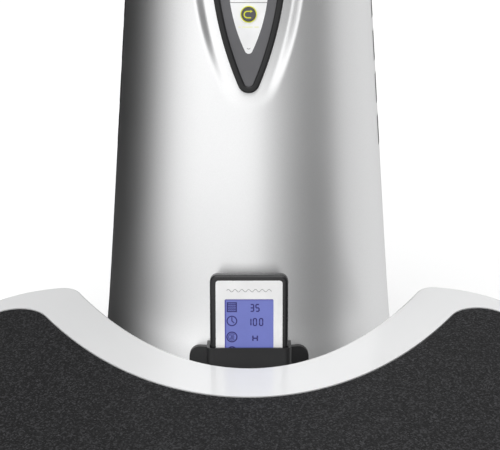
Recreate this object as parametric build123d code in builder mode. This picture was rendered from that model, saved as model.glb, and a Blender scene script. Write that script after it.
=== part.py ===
"""Vibration plate for standing exercise: a floor base, a shaken platform, a leaning column with a
control console, two hand loops and a hand-held remote in a dock at the column's foot.

Frame: millimetres, +Z up, +X to the user's right, the user stands at -Y and looks along +Y.
The origin is the centre of the footprint on the floor.
"""

import os
from math import asin, atan, cos, degrees, exp, radians, sin, sqrt, tan

from build123d import *

os.makedirs("parts", exist_ok=True)

# ---------------------------------------------------------------- driving dimensions

DECK_Z = 218.0            # top of the platform's rim
PLATFORM_BOTTOM_Z = 152.0
BASE_TOP_Z = 135.0
FOOT_HEIGHT = 25.0
PAN_TOP_Z = 27.0
RAIL_TOP_Z = 67.0
COVER_WALL = 4.0
BASE_INSET = 40.0         # the base stands in from the platform's edge
BASE_FOOT = (380.0, 422.0, 186.0)  # width, length and corner radius of its end under the column

HEEL_Y = -478.0           # the user's end of the platform
REAR_Y = 478.0            # the far end of the base
NOTCH_Y = 25.0            # nearest point of the notch that the column stands in
NOTCH_FOCUS = 250.0       # the notch is the parabola y = NOTCH_Y + x * x / NOTCH_FOCUS
WING_Y = 75.0             # where the platform's sides start to turn in
RIM_WIDTH = 63.0          # bare rim between the notch and the mat
MAT_BORDER = 26.0         # bare rim on the other sides
LIP_SETBACK = 20.0        # the notch's wall stands back from the edge of the rim
LIP_BOTTOM_Z = 209.0
DECK_BOTTOM_Z = 206.0
MAT_FLOOR_Z = 212.5
MAT_TOP_Z = 217.0
PLATE_Z = (162.0, 170.0)  # steel plate under the platform's deck

COLUMN_TOP_Z = 1180.0
CAP_TOP_Z = 1200.0
COLUMN_FRONT_Y = 76.0     # column's nose at the height of the rim
COLUMN_REAR_Y = 450.0
COLUMN_HALF_WIDTH = 180.5
COLUMN_FLARE = 2.5        # at the foot
FLARE_HEIGHT = 45.0       # height over which the flare fades
FRONT_LEAN = 15.0         # degrees from upright
REAR_SLOPE = 0.0187
SIDE_SLOPE = 0.08
SHELL_WALL = 4.0

MAST_FOOT = (0.0, 300.0, 77.0)
MAST_HEAD = (0.0, 395.0, 1150.0)
MAST_WIDTH = 80.0
MAST_DEPTH = 60.0

CONSOLE_LEAN = 18.0
CONSOLE_TIP = (0.0, 149.1, 506.4)
RECESS_MARGIN = 16.0      # the column's recess is this much wider than the console all round
RECESS_DEPTH = 8.0
RECESS_END_Z = 497.0      # at its lower end the recess runs out into the column's face
RECESS_SINK = 0.1         # and from there it sinks by this much for each millimetre of height
BEZEL_BOTTOM = -12.0      # in the console's own frame, like the next
PANEL_BOTTOM = -6.0
CONSOLE_BUTTONS = {
    "repeat": (0.0, 89.2),
    "start": (0.0, 135.0),
    "stop": (0.0, 175.0),
    "time_down": (-11.5, 218.0),
    "time_up": (11.5, 218.0),
    "frequency_down": (-11.5, 258.0),
    "frequency_up": (11.5, 258.0),
}
CONSOLE_KEY_RADIUS = 8.0
CONSOLE_WINDOW = (56.0, 100.0, 350.0)    # width, length and middle height up the console

REMOTE_STANDOFF = 26.0    # remote's face in front of the column
REMOTE_WIDTH = 91.0
REMOTE_HEIGHT = 155.0
REMOTE_MIDDLE = 19.2      # above the rim, along the column's lean
REMOTE_THICKNESS = 14.0
REMOTE_WALL = 3.0
FACE_DEPTH = 0.8
REMOTE_WINDOW = (56.7, 70.0, 33.1)
REMOTE_BUTTONS = {
    "left_upper": (-18.0, -19.0),
    "right_upper": (18.0, -19.0),
    "left_lower": (-18.0, -41.0),
    "right_lower": (18.0, -41.0),
}
REMOTE_KEY_RADIUS = 6.0
DOCK_WALL_TOP = 10.6
DOCK_HALF_WIDTH = 49.5
DOCK_FRONT = 4.5
POCKET_HALF_WIDTH = 46.1
POCKET = (-14.6, 0.8)     # back and front of the dock's pocket, from the remote's face
DOCK_SCREWS = [(-25.0, -20.0), (25.0, -20.0)]
DOCK_SEAT = -23.0         # depth at which the dock's screws sit
EAR_HALF_WIDTH = 71.0
EAR_THICKNESS = 9.0
EAR_TOP = 5.0
DOCK_BOTTOM = -62.0

TUBE_RADIUS = 16.0
TUBE_BORE = 13.5
GRIP_RADIUS = 21.0
COLLAR_RADIUS = 26.0
BRACKET_RADIUS = 21.0
UPPER_START = (76.0, 392.0, 1118.0)
UPPER_TURN = (262.0, 392.0, 1150.0)
LOWER_START = (76.0, 355.0, 850.0)
LOWER_TURN = (250.0, 355.0, 850.0)
LOOP_CORNERS = [UPPER_START, UPPER_TURN, (300.0, 120.0, 1110.0), (292.0, 110.0, 900.0), LOWER_TURN, LOWER_START]
LOOP_RADII = (70.0, 75.0, 75.0, 70.0)

MOTORS = {"front": -285.0, "rear": -140.0}
MOTOR_Z = 98.0
MOTOR_RADIUS = 48.0
MOTOR_HALF_LENGTH = 95.0
MOTOR_FOOT = (60.0, 58.0)                # half length and half width of its mounting foot
COVER_END = 155.0
SHAFT_RADIUS = 8.0
BEARING_RADIUS = 13.0
WEIGHT_RADIUS = 38.0
WEIGHT_SPAN = (112.0, 134.0)

ISOLATORS = [(side * x, y) for x, y in ((230, -320), (230, -90), (270, 90)) for side in (-1, 1)]
ISOLATOR_Z = (112.0, 150.0)
FEET = [(side * x, y) for x, y in ((225, -345), (270, 90), (120, 360)) for side in (-1, 1)]
DECK_BOLTS = [(side * x, y) for x, y in ((290, -250), (315, 30), (120, -410), (150, 20)) for side in (-1, 1)]
MAST_BOLTS = [(side * 120, y) for y in (245, 340) for side in (-1, 1)]
SHELL_SCREWS = [(side * 22, z) for z in (320, 620, 1000) for side in (-1, 1)]
WHEEL_Y = 372.0
WHEEL_Z = 40.0
WHEEL_RADIUS = 35.0
WHEEL_SPAN = (151.0, 171.5)
ARCH = ((149.0, 215.0), (330.0, 412.0), 80.0)
PANEL_Y = (458.0, 462.0)
PANEL_HALF = (55.0, 40.0)                # half width and half height of the service panel
PANEL_Z = 80.0
INLET_X = -20.0
ROCKER = (30.0, 62.0)
FUSE = (30.0, 98.0)
SIDES = {"left": -1, "right": 1}

CLEAR = 0.3               # gap between bodies that move past each other


def save(piece, name):
    """Labels a finished piece and writes it as parts/NAME.step."""
    piece.part.label = name
    export_step(piece.part, f"parts/{name}.step")


# ---------------------------------------------------------------- building blocks
# These draw into the sub-part that is open when they are called.


def block(x, y, z, plane=Plane.XY, mode=Mode.ADD):
    """A box between three pairs of limits, in the frame of a plane."""
    with Locations(plane):
        with Locations(((x[0] + x[1]) / 2, (y[0] + y[1]) / 2, (z[0] + z[1]) / 2)):
            Box(x[1] - x[0], y[1] - y[0], z[1] - z[0], mode=mode)


def posts(places, radius, z, plane=Plane.XY, mode=Mode.ADD):
    """Cylinders of one size that stand on a plane, between two heights."""
    with Locations(plane):
        with Locations(*[(x, y, (z[0] + z[1]) / 2) for x, y in places]):
            Cylinder(radius, z[1] - z[0], mode=mode)


def prism(outline, z, plane=Plane.XY, mode=Mode.ADD):
    """A flat outline extruded from one height to another."""
    with BuildSketch(plane.offset(z[0])) as profile:
        add(outline)
    extrude(profile.sketch, amount=z[1] - z[0], mode=mode)


def rounded(width, height, radius, centre=(0, 0)):
    """A rectangle with round corners."""
    with BuildSketch() as outline:
        with Locations(centre):
            RectangleRounded(width, height, radius)
    return outline.sketch


# ---------------------------------------------------------------- shared outlines


def platform_outline(inset=0.0):
    """The platform from above without its notch: a round heel, full corners and two rounded wings."""
    with BuildSketch() as outline:
        with BuildLine():
            heel = JernArc(start=(0, HEEL_Y), tangent=(1, 0), radius=640, arc_size=28)
            corner = JernArc(start=heel @ 1, tangent=heel % 1, radius=130, arc_size=62)
            side = Line(corner @ 1, ((corner @ 1).X, WING_Y))
            wing = JernArc(start=side @ 1, tangent=side % 1, radius=150, arc_size=90)
            Line(wing @ 1, (0, (wing @ 1).Y))
            mirror(about=Plane.YZ)
        make_face()
        if inset:
            offset(amount=-inset)
    return outline.sketch


def notch_outline(margin=0.0):
    """The parabolic notch, grown by margin: each point of the parabola moves out along its normal."""
    edge = []
    for step in range(-9, 10):
        x = 35.0 * step
        turn = atan(2 * x / NOTCH_FOCUS)
        edge.append((x + margin * sin(turn), NOTCH_Y + x * x / NOTCH_FOCUS - margin * cos(turn)))
    with BuildSketch() as outline:
        with BuildLine():
            curve = Spline(edge)
            Line(curve @ 1, curve @ 0)
        make_face()
    return outline.sketch


def platform_plan(inset, margin, tip_radius):
    """Platform outline less the grown notch, with rounded wing tips."""
    with BuildSketch() as plan:
        add(platform_outline(inset))
        add(notch_outline(margin), mode=Mode.SUBTRACT)
        fillet(plan.vertices().group_by(Axis.Y)[-1], tip_radius)
    return plan.sketch


def base_plan(inset):
    """The base from above: the platform's outline, drawn in, joined to the column's round foot."""
    with BuildSketch() as plan:
        add(platform_outline(BASE_INSET + inset))
        width, length, radius = BASE_FOOT
        with Locations((0, REAR_Y - length / 2)):
            RectangleRounded(width - 2 * inset, length - 2 * inset, radius - inset)
        joins = [v for v in plan.vertices() if 100 < v.Y < 230 and 100 < abs(v.X) < width / 2 + 1]
        fillet(joins, 12)
    return plan.sketch


def column_section(z):
    """(half width, front y, rear y) of the column's oval section, with a small flare at its foot."""
    rise = z - DECK_Z
    flare = COLUMN_FLARE * exp(-(z - BASE_TOP_Z) / FLARE_HEIGHT)
    half_width = COLUMN_HALF_WIDTH - SIDE_SLOPE * rise + flare
    front = COLUMN_FRONT_Y + tan(radians(FRONT_LEAN)) * rise - flare
    rear = COLUMN_REAR_Y + REAR_SLOPE * rise + 0.5 * flare
    return half_width, front, rear


def column_oval(z, inset=0.0, sink=0.0):
    """The column's oval at one height, drawn in by inset, with its front moved back by sink."""
    half_width, front, rear = column_section(z)
    front += sink
    with BuildSketch(Plane.XY.offset(z)) as oval:
        with Locations((0, (front + rear) / 2)):
            Ellipse(half_width - inset, (rear - front) / 2 - inset)
    return oval.sketch


def column_body(inset=0.0, mode=Mode.ADD):
    """The closed column, drawn in by inset: its foot flares in short steps and the rest tapers straight."""
    heights = (BASE_TOP_Z, 143.0, 153.0, 166.0, 183.0, 207.0, 250.0, COLUMN_TOP_Z)
    loft([column_oval(z, inset) for z in heights], ruled=True, mode=mode)


def column_rear(x, z):
    """Y of the column's rear face at a place across it and a height."""
    half_width, front, rear = column_section(z)
    return (front + rear) / 2 + (rear - front) / 2 * sqrt(1 - (x / half_width) ** 2)


def leaning_plane(origin, lean):
    """A plane that faces the user, with local y up along the lean and local z out of the face."""
    return Plane(origin=origin, x_dir=(1, 0, 0), z_dir=(0, -cos(radians(lean)), sin(radians(lean))))


CONSOLE = leaning_plane(CONSOLE_TIP, CONSOLE_LEAN)
REMOTE = leaning_plane((0, COLUMN_FRONT_Y - REMOTE_STANDOFF / cos(radians(FRONT_LEAN)), DECK_Z), FRONT_LEAN)
PARTING = Plane(origin=(0, 263.0, DECK_Z), x_dir=(1, 0, 0), z_dir=(0, 1, -0.145))
REARWARD = Plane(origin=(0, 0, 0), x_dir=(-1, 0, 0), z_dir=(0, 1, 0))    # local y is up


def shield(half_width, tip_radius, side_radius, widest, top):
    """A leaf that narrows down to a round tip and ends in a round top: all tangent arcs and lines."""
    between_centres = side_radius - tip_radius
    drop = sqrt(between_centres ** 2 - (side_radius - half_width) ** 2)
    side_arc = degrees(asin(drop / between_centres))
    with BuildSketch() as leaf:
        with BuildLine():
            tip = JernArc((0, widest - drop - tip_radius), tangent=(1, 0), radius=tip_radius,
                          arc_size=90 - side_arc)
            side = JernArc(tip @ 1, tangent=tip % 1, radius=side_radius, arc_size=side_arc)
            rise = Line(side @ 1, (half_width, top - half_width))
            JernArc(rise @ 1, tangent=(0, 1), radius=half_width, arc_size=90)
            mirror(about=Plane.YZ)
        make_face()
    return leaf.sketch


def console_outline(margin=0.0):
    """The console's shield, grown by margin."""
    return shield(44.3 + margin, 13 + margin, 400 + margin, 165.5, 444 + margin)


def console_recess(wall=0.0):
    """What the shallow recess round the console takes out of the column, grown by wall."""
    sinking = [column_oval(z, wall, RECESS_SINK * (z - RECESS_END_Z)) for z in (400.0, COLUMN_TOP_Z)]
    with BuildPart() as recess:
        prism(console_outline(RECESS_MARGIN + wall), (-60, 60), CONSOLE)
        column_body(RECESS_DEPTH + wall, mode=Mode.SUBTRACT)
        loft(sinking, ruled=True, mode=Mode.SUBTRACT)
    return recess.part


def mast_body(width, depth, mode=Mode.ADD):
    """The straight box tube inside the column, from the floor plate up to its head."""
    axis = Vector(*MAST_HEAD) - Vector(*MAST_FOOT)
    with BuildSketch(Plane(origin=MAST_FOOT, x_dir=(1, 0, 0), z_dir=axis)) as section:
        Rectangle(width, depth)
    extrude(section.sketch, amount=axis.length, mode=mode)


def mast_rear(z):
    """Y of the mast's rear face at a height."""
    run, rise = MAST_HEAD[1] - MAST_FOOT[1], MAST_HEAD[2] - MAST_FOOT[2]
    return MAST_FOOT[1] + (z - MAST_FOOT[2]) * run / rise + MAST_DEPTH / 2


def bar_plane(start, turn, side):
    """Plane across a hand loop's end, looking out along the tube."""
    out = Vector((turn[0] - start[0]) * side, turn[1] - start[1], turn[2] - start[2])
    return Plane(origin=(start[0] * side, start[1], start[2]), x_dir=(0, 1, 0), z_dir=out)


BAR_ENDS = [bar_plane(start, turn, side) for side in SIDES.values()
            for start, turn in ((UPPER_START, UPPER_TURN), (LOWER_START, LOWER_TURN))]

# ---------------------------------------------------------------- base

rail_z = (PAN_TOP_Z, RAIL_TOP_Z)
rail_wall = 4.0
rails = [
    ((-240, -190), (-375, 70)),
    ((190, 240), (-375, 70)),
    ((-190, 190), (-392, -352)),
    ((-190, 190), (-70, -30)),
    ((-300, 300), (70, 110)),
    ((-140, -100), (110, 360)),
    ((100, 140), (110, 360)),
    ((-140, 140), (360, 400)),
]

with BuildPart() as base_frame:
    for x, y in rails:
        block(x, y, rail_z)
    for x, y in rails:
        hollow_x = (x[0] + rail_wall, x[1] - rail_wall)
        hollow_y = (y[0] + rail_wall, y[1] - rail_wall)
        block(hollow_x, hollow_y, (PAN_TOP_Z, RAIL_TOP_Z - rail_wall), mode=Mode.SUBTRACT)
    posts(FEET, 14, (PAN_TOP_Z, RAIL_TOP_Z - rail_wall))
    posts(FEET, 5.2, (PAN_TOP_Z, 45), mode=Mode.SUBTRACT)
    posts(ISOLATORS, 30, (RAIL_TOP_Z, 73))
    posts(ISOLATORS, 20, (73, 104))
    posts(ISOLATORS, 28, (104, ISOLATOR_Z[0]))
    posts(MAST_BOLTS, 5.2, (50, RAIL_TOP_Z), mode=Mode.SUBTRACT)
    with Locations((0, WHEEL_Y, WHEEL_Z)):
        Cylinder(6.1, 300, rotation=(0, 90, 0), mode=Mode.SUBTRACT)
save(base_frame, "base_frame")

with BuildPart() as rubber_feet:
    posts(FEET, 25, (0, FOOT_HEIGHT))
    fillet(rubber_feet.edges().group_by(Axis.Z)[0], 3)
    posts(FEET, 5.2, (0, FOOT_HEIGHT), mode=Mode.SUBTRACT)
    posts(FEET, 11, (0, 9), mode=Mode.SUBTRACT)
save(rubber_feet, "rubber_feet")

with BuildPart() as foot_bolts:
    posts(FEET, 5, (9, 42))
    posts(FEET, 9, (3, 9))
save(foot_bolts, "foot_bolts")

with BuildPart() as bottom_pan:
    prism(base_plan(0), (FOOT_HEIGHT, PAN_TOP_Z))
    posts(FEET, 5.2, (FOOT_HEIGHT, PAN_TOP_Z), mode=Mode.SUBTRACT)
    for side in SIDES.values():
        block(sorted(side * x for x in ARCH[0]), ARCH[1], (FOOT_HEIGHT, PAN_TOP_Z), mode=Mode.SUBTRACT)
save(bottom_pan, "bottom_pan")

with BuildPart() as isolators:
    posts(ISOLATORS, 26, ISOLATOR_Z)
    fillet(isolators.edges(), 3)
    for x, y in ISOLATORS:
        with Locations((x, y, sum(ISOLATOR_Z) / 2)):
            Torus(29, 7, mode=Mode.SUBTRACT)
save(isolators, "isolators")

liner = 3.0
seat = 4.0
panel_x = (-PANEL_HALF[0], PANEL_HALF[0])
panel_z = (PANEL_Z - PANEL_HALF[1], PANEL_Z + PANEL_HALF[1])

with BuildPart() as cover_hollow:
    prism(base_plan(COVER_WALL), (PAN_TOP_Z, BASE_TOP_Z - COVER_WALL))
    for side in SIDES.values():
        arch_x = sorted((side * (ARCH[0][0] - liner), side * ARCH[0][1]))
        block(arch_x, (ARCH[1][0] - liner, ARCH[1][1]), (0, ARCH[2] + liner), mode=Mode.SUBTRACT)
    block((panel_x[0] - seat, panel_x[1] + seat), (PANEL_Y[0] - seat, REAR_Y),
          (panel_z[0] - seat, panel_z[1] + seat), mode=Mode.SUBTRACT)

with BuildPart() as base_cover:
    prism(base_plan(0), (PAN_TOP_Z, BASE_TOP_Z))
    fillet(base_cover.edges().group_by(Axis.Z)[-1], 2)
    add(cover_hollow.part, mode=Mode.SUBTRACT)
    for side in SIDES.values():
        block(sorted(side * x for x in ARCH[0]), ARCH[1], (0, ARCH[2]), mode=Mode.SUBTRACT)
    with Locations((0, WHEEL_Y, WHEEL_Z)):
        Cylinder(6.1, 300, rotation=(0, 90, 0), mode=Mode.SUBTRACT)
    block(panel_x, (PANEL_Y[0], REAR_Y), panel_z, mode=Mode.SUBTRACT)
    block((panel_x[0] + seat, panel_x[1] - seat), (PANEL_Y[0] - seat, PANEL_Y[0]),
          (panel_z[0] + seat, panel_z[1] - seat), mode=Mode.SUBTRACT)
    top_deck = (BASE_TOP_Z - COVER_WALL, BASE_TOP_Z)
    posts(ISOLATORS, 34, top_deck, mode=Mode.SUBTRACT)
    prism(rounded(370, 270, 20, (0, -210)), top_deck, mode=Mode.SUBTRACT)
    prism(rounded(140, 120, 8, (0, 305)), top_deck, mode=Mode.SUBTRACT)
save(base_cover, "base_cover")

with BuildPart() as service_panel:
    block(panel_x, PANEL_Y, panel_z)
    block((INLET_X - 14, INLET_X + 14), PANEL_Y, (PANEL_Z - 10, PANEL_Z + 10), mode=Mode.SUBTRACT)
    block((ROCKER[0] - 9.5, ROCKER[0] + 9.5), PANEL_Y, (ROCKER[1] - 12.6, ROCKER[1] + 12.6), mode=Mode.SUBTRACT)
    posts([(-FUSE[0], FUSE[1])], 7, PANEL_Y, plane=REARWARD, mode=Mode.SUBTRACT)
save(service_panel, "service_panel")

with BuildPart() as power_inlet:
    block((INLET_X - 14, INLET_X + 14), (432, PANEL_Y[1]), (PANEL_Z - 10, PANEL_Z + 10))
    block((INLET_X - 25, INLET_X + 25), (PANEL_Y[1], PANEL_Y[1] + 3), (PANEL_Z - 13, PANEL_Z + 13))
    block((INLET_X - 12, INLET_X + 12), (448, PANEL_Y[1] + 3), (PANEL_Z - 8, PANEL_Z + 8), mode=Mode.SUBTRACT)
    for x, z in ((-7, -2), (7, -2), (0, 3)):
        block((INLET_X + x - 1, INLET_X + x + 1), (448, PANEL_Y[1] + 1), (PANEL_Z + z - 2, PANEL_Z + z + 2))
save(power_inlet, "power_inlet")

with BuildPart() as fuse_holder:
    posts([(-FUSE[0], FUSE[1])], 7, (430, PANEL_Y[1]), plane=REARWARD)
    posts([(-FUSE[0], FUSE[1])], 9, (PANEL_Y[1], PANEL_Y[1] + 6), plane=REARWARD)
    block((FUSE[0] - 6, FUSE[0] + 6), (PANEL_Y[1] + 4, PANEL_Y[1] + 6), (FUSE[1] - 1, FUSE[1] + 1),
          mode=Mode.SUBTRACT)
save(fuse_holder, "fuse_holder")

rocker_pivot = (sum(PANEL_Y) / 2, ROCKER[1])
rocker_tilt = 8.0

with BuildPart() as power_rocker:
    with BuildSketch(Plane.YZ.offset(ROCKER[0] - 9)):
        with Locations(Location(rocker_pivot, rocker_tilt)):
            Polygon((-3, -11.6), (4, -10.5), (2.5, 0), (4, 10.5), (-3, 11.6), align=None)
    extrude(amount=18)
    with Locations((ROCKER[0], *rocker_pivot)):
        Cylinder(2.4, 18.6, rotation=(0, 90, 0))
save(power_rocker, "power_rocker")

with BuildPart() as wheel_axles:
    for side in SIDES.values():
        for radius, near, far in ((6, 126, WHEEL_SPAN[1] + 1), (9, 149, 150.5),
                                  (10, WHEEL_SPAN[1] + 1, WHEEL_SPAN[1] + 5)):
            with Locations((side * (near + far) / 2, WHEEL_Y, WHEEL_Z)):
                Cylinder(radius, far - near, rotation=(0, 90, 0))
save(wheel_axles, "wheel_axles")

for name, side in SIDES.items():
    with BuildPart() as transport_wheel:
        middle = side * sum(WHEEL_SPAN) / 2
        width = WHEEL_SPAN[1] - WHEEL_SPAN[0]
        with Locations((middle, WHEEL_Y, WHEEL_Z)):
            Cylinder(WHEEL_RADIUS, width, rotation=(0, 90, 0))
        fillet(transport_wheel.edges(), 4)
        for face in (-1, 1):
            with Locations((middle + face * (width / 2 - 2), WHEEL_Y, WHEEL_Z)):
                Cylinder(25, 4, rotation=(0, 90, 0), mode=Mode.SUBTRACT)
                Cylinder(12, 4, rotation=(0, 90, 0))
        with Locations((middle, WHEEL_Y, WHEEL_Z)):
            Cylinder(6 + CLEAR, width, rotation=(0, 90, 0), mode=Mode.SUBTRACT)
    save(transport_wheel, f"transport_wheel_{name}")

with BuildPart() as inverter_box:
    block((-80, 80), (150, 235), (BASE_TOP_Z, 320))
    fillet(inverter_box.edges().filter_by(Axis.Z), 4)
    for fin in range(9):
        block((-66 + 16 * fin, -62 + 16 * fin), (150, 156), (BASE_TOP_Z + 20, 300), mode=Mode.SUBTRACT)
save(inverter_box, "inverter_box")

# ---------------------------------------------------------------- mast

with BuildPart() as mast:
    mast_body(MAST_WIDTH, MAST_DEPTH)
    mast_body(MAST_WIDTH - 8, MAST_DEPTH - 8, mode=Mode.SUBTRACT)
    block((-130, 130), (225, 375), (RAIL_TOP_Z, MAST_FOOT[2]))
    posts(MAST_BOLTS, 5.2, (RAIL_TOP_Z, MAST_FOOT[2]), mode=Mode.SUBTRACT)
    posts([(-x, z) for x, z in SHELL_SCREWS], 2.7, (300, 450), plane=REARWARD, mode=Mode.SUBTRACT)
save(mast, "mast")

with BuildPart() as mast_bolts:
    posts(MAST_BOLTS, 5, (52, MAST_FOOT[2]))
    posts(MAST_BOLTS, 9, (MAST_FOOT[2], MAST_FOOT[2] + 7))
save(mast_bolts, "mast_bolts")

with BuildPart() as handlebar_brackets:
    for end in BAR_ENDS:
        posts([(0, 0)], BRACKET_RADIUS, (-42, 22), plane=end)
    for end in BAR_ENDS:
        posts([(0, 0)], TUBE_RADIUS + 0.05, (0, 22), plane=end, mode=Mode.SUBTRACT)
    block((-MAST_WIDTH / 2, MAST_WIDTH / 2), (300, 450), (800, 1180), mode=Mode.SUBTRACT)
save(handlebar_brackets, "handlebar_brackets")

# ---------------------------------------------------------------- column

with BuildPart() as column_core:
    column_body(SHELL_WALL)
    add(console_recess(SHELL_WALL), mode=Mode.SUBTRACT)

with BuildPart() as column_front_shell:
    column_body()
    add(console_recess(), mode=Mode.SUBTRACT)
    add(column_core.part, mode=Mode.SUBTRACT)
    split(bisect_by=PARTING, keep=Keep.BOTTOM)
    prism(console_outline(), (BEZEL_BOTTOM, 60), CONSOLE, Mode.SUBTRACT)
    prism(console_outline(-10), (-40, BEZEL_BOTTOM), CONSOLE, Mode.SUBTRACT)
    posts(DOCK_SCREWS, 2.3, (-60, 0), plane=REMOTE, mode=Mode.SUBTRACT)
    for end in BAR_ENDS:
        posts([(0, 0)], COLLAR_RADIUS, (20, 80), plane=end, mode=Mode.SUBTRACT)
save(column_front_shell, "column_front_shell")

with BuildPart() as column_rear_shell:
    column_body()
    add(column_core.part, mode=Mode.SUBTRACT)
    split(bisect_by=PARTING, keep=Keep.TOP)
    for x, z in SHELL_SCREWS:
        posts([(-x, z)], 8, (mast_rear(z) - 10, column_rear(x, z) - 2), plane=REARWARD)
    mast_body(MAST_WIDTH, MAST_DEPTH, mode=Mode.SUBTRACT)
    for x, z in SHELL_SCREWS:
        posts([(-x, z)], 2.7, (300, 480), plane=REARWARD, mode=Mode.SUBTRACT)
        posts([(-x, z)], 5.2, (column_rear(x, z) - 6, 480), plane=REARWARD, mode=Mode.SUBTRACT)
    for row in range(8):
        block((-45, 45), (430, 480), (170 + 12 * row, 175 + 12 * row), mode=Mode.SUBTRACT)
    for end in BAR_ENDS:
        posts([(0, 0)], COLLAR_RADIUS, (20, 80), plane=end, mode=Mode.SUBTRACT)
save(column_rear_shell, "column_rear_shell")

with BuildPart() as column_top_cap:
    extrude(column_oval(COLUMN_TOP_Z), amount=CAP_TOP_Z - COLUMN_TOP_Z)
    fillet(column_top_cap.edges().group_by(Axis.Z)[-1], 12)
    extrude(column_oval(COLUMN_TOP_Z, SHELL_WALL + 0.4), amount=-12)
save(column_top_cap, "column_top_cap")

with BuildPart() as column_screws:
    for x, z in SHELL_SCREWS:
        head = column_rear(x, z) - 6
        posts([(-x, z)], 5, (head, head + 3), plane=REARWARD)
        posts([(-x, z)], 2.5, (mast_rear(z) - 10, head), plane=REARWARD)
    posts(DOCK_SCREWS, 4.5, (DOCK_SEAT, DOCK_SEAT + 3), plane=REMOTE)
    posts(DOCK_SCREWS, 2.2, (-40, DOCK_SEAT), plane=REMOTE)
save(column_screws, "column_screws")

# ---------------------------------------------------------------- hand loops

with BuildPart() as handlebar_collars:
    for start, stop, ends in ((26, 42, BAR_ENDS[0::2]), (44, 62, BAR_ENDS[1::2])):
        for end in ends:
            posts([(0, 0)], COLLAR_RADIUS, (start, stop), plane=end)
            posts([(0, 0)], TUBE_RADIUS + 0.05, (start, stop), plane=end, mode=Mode.SUBTRACT)
save(handlebar_collars, "handlebar_collars")

for name, side in SIDES.items():
    corners = [(side * x, y, z) for x, y, z in LOOP_CORNERS]
    with BuildPart() as handlebar:
        with BuildLine() as loop_path:
            FilletPolyline(*corners, radius=LOOP_RADII)
        with BuildSketch(bar_plane(UPPER_START, UPPER_TURN, side)):
            Circle(TUBE_RADIUS)
            Circle(TUBE_BORE, mode=Mode.SUBTRACT)
        sweep()
    save(handlebar, f"handlebar_{name}")

    grip_run = Wire(loop_path.edges()[2:5])
    with BuildPart() as grip:
        with BuildSketch(Plane(origin=grip_run @ 0, z_dir=grip_run % 0)) as grip_section:
            Circle(GRIP_RADIUS)
            Circle(TUBE_RADIUS + 0.05, mode=Mode.SUBTRACT)
        sweep(grip_section.sketch, path=grip_run)
    save(grip, f"grip_{name}")

# ---------------------------------------------------------------- console

bezel_width = 7.5
panel_z_local = (PANEL_BOTTOM, -1.0)
label_z = (-1.0, -0.5)
key_places = list(CONSOLE_BUTTONS.values())
window_width, window_length, window_middle = CONSOLE_WINDOW

with BuildPart() as console_bezel:
    prism(console_outline(), (BEZEL_BOTTOM, 1.5), CONSOLE)
    prism(console_outline(-bezel_width), (BEZEL_BOTTOM, 1.5), CONSOLE, Mode.SUBTRACT)
    fillet(console_bezel.faces().sort_by(Axis(CONSOLE.origin, CONSOLE.z_dir))[-1].edges(), 2.4)
save(console_bezel, "console_bezel")

with BuildPart() as console_panel:
    prism(console_outline(-bezel_width), panel_z_local, CONSOLE)
    posts(key_places, CONSOLE_KEY_RADIUS + CLEAR, panel_z_local, CONSOLE, Mode.SUBTRACT)
    prism(rounded(window_width, window_length, 3, (0, window_middle)), panel_z_local, CONSOLE, Mode.SUBTRACT)
    posts([(-20, 125), (20, 125), (-20, 280), (20, 280)], 3, (-10.4, PANEL_BOTTOM), CONSOLE)
save(console_panel, "console_panel")

with BuildPart() as console_label:
    with BuildSketch(CONSOLE.offset(label_z[0])):
        add(shield(23, 4.5, 190, 130, 344))
        with Locations((0, window_middle)):
            RectangleRounded(window_width + 10, window_length + 12, 8)
            RectangleRounded(window_width, window_length, 3, mode=Mode.SUBTRACT)
        with Locations(*key_places):
            Circle(CONSOLE_KEY_RADIUS + CLEAR, mode=Mode.SUBTRACT)
    extrude(amount=label_z[1] - label_z[0])
save(console_label, "console_label")

with BuildPart() as console_window:
    prism(rounded(window_width, window_length, 3, (0, window_middle)), (PANEL_BOTTOM, label_z[1]), CONSOLE)
save(console_window, "console_window")

with BuildPart() as console_lcd:
    prism(rounded(window_width + 4, window_length + 4, 2, (0, window_middle)), (-9, PANEL_BOTTOM), CONSOLE)
save(console_lcd, "console_lcd")

with BuildPart() as console_board:
    prism(rounded(50, 300, 4, (0, 265)), (-12, -10.4), CONSOLE)
save(console_board, "console_board")

for name, place in CONSOLE_BUTTONS.items():
    with BuildPart() as console_button:
        posts([place], CONSOLE_KEY_RADIUS, (-8.5, 0.8), CONSOLE)
        fillet(console_button.edges().sort_by(Axis(CONSOLE.origin, CONSOLE.z_dir))[-1], 0.8)
        posts([place], CONSOLE_KEY_RADIUS + 1.5, (-8.5, -7.2), CONSOLE)
    save(console_button, f"console_button_{name}")

# ---------------------------------------------------------------- remote and its dock

remote_up = Axis(REMOTE.origin, REMOTE.y_dir)
remote_out = Axis(REMOTE.origin, REMOTE.z_dir)
dock_s = (DOCK_BOTTOM, DOCK_WALL_TOP)

with BuildPart() as dock:
    prism(rounded(2 * EAR_HALF_WIDTH, EAR_TOP - DOCK_BOTTOM, 14, (0, (EAR_TOP + DOCK_BOTTOM) / 2)),
          (-60, 0), REMOTE)
    column_body(-EAR_THICKNESS, mode=Mode.INTERSECT)
    block((-DOCK_HALF_WIDTH, DOCK_HALF_WIDTH), dock_s, (-60, DOCK_FRONT), REMOTE)
    fillet(dock.edges().filter_by(remote_up).sort_by(remote_out)[-2:], 8)
    column_body(mode=Mode.SUBTRACT)
    block((-POCKET_HALF_WIDTH, POCKET_HALF_WIDTH), (REMOTE_MIDDLE - REMOTE_HEIGHT / 2 - 0.5, 60), POCKET,
          REMOTE, Mode.SUBTRACT)
    posts(DOCK_SCREWS, 4.6, (DOCK_SEAT, 0), REMOTE, Mode.SUBTRACT)
    posts(DOCK_SCREWS, 2.3, (-60, DOCK_SEAT), REMOTE, Mode.SUBTRACT)
save(dock, "dock")

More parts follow.
